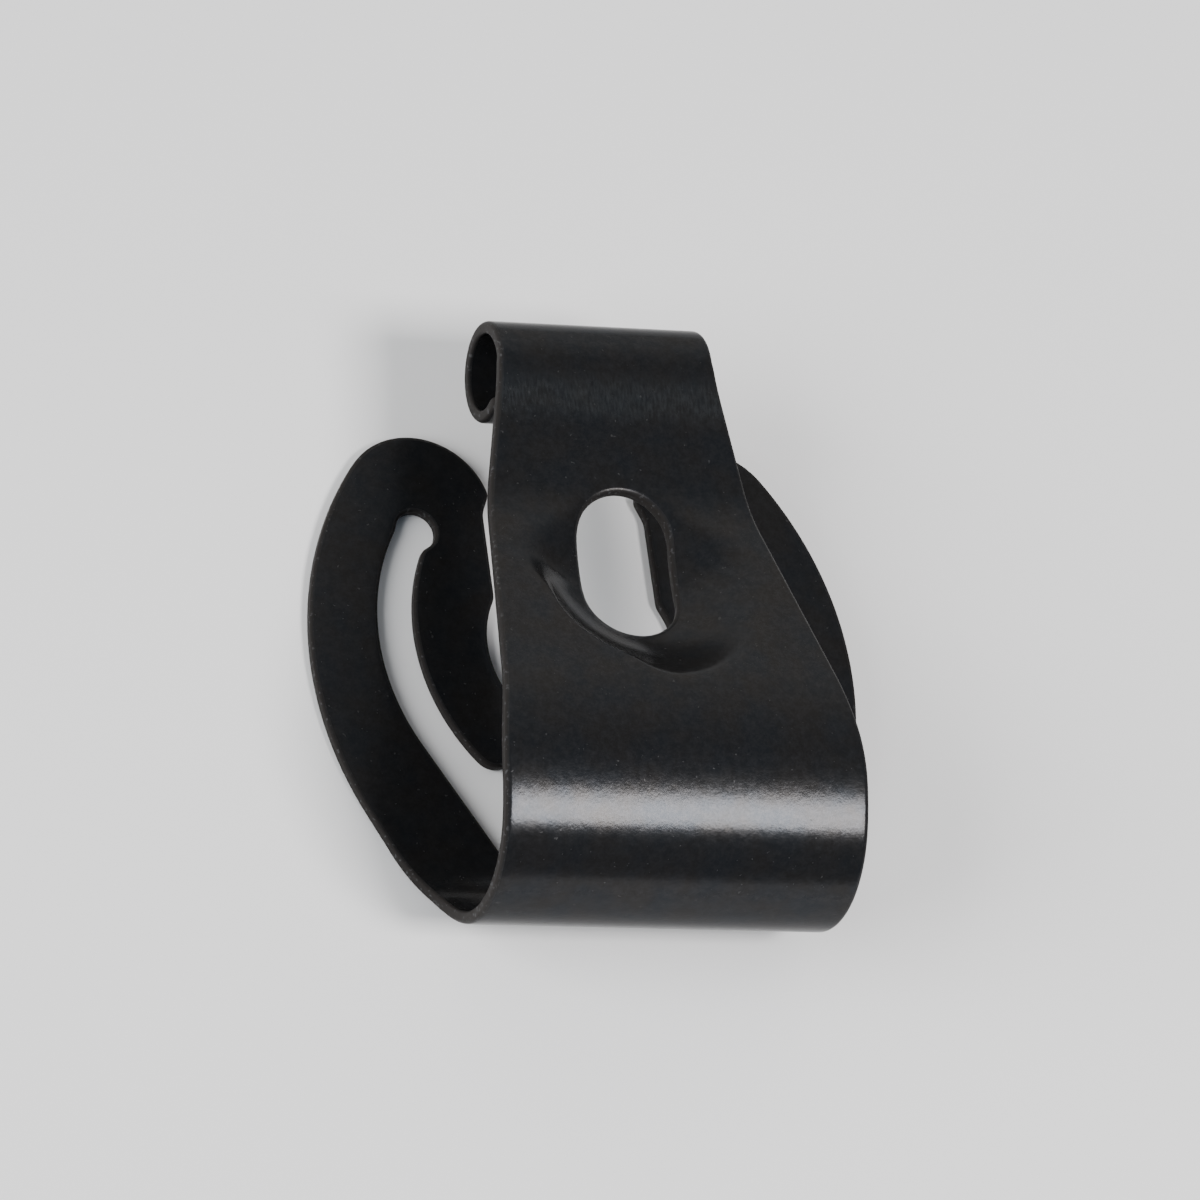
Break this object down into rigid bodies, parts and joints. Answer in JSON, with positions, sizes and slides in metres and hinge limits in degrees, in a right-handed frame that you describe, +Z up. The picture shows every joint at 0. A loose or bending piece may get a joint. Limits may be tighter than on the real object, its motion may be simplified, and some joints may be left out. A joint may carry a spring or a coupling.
{
  "type": "retaining clip",
  "caption": "Folded spring-steel clip with curved arms whose hooked fingers grip a stud's neck, below a tapering front leg with a dished slot and a rolled end.",
  "frame": {"origin": "on the axis of the stud that the fingers hold, on the plane that the arms' backs lie on", "axes": "+X across the clip, +Y from the main bend to the rolled end, +Z up from the arms to the front leg"},
  "size_m": [0.0362, 0.0397, 0.0141],
  "materials": {
    "spring_steel": "blackened, satin"
  },
  "bodies": {
    "root": {"retaining_clip": "spring_steel"}
  },
  "joints": []
}
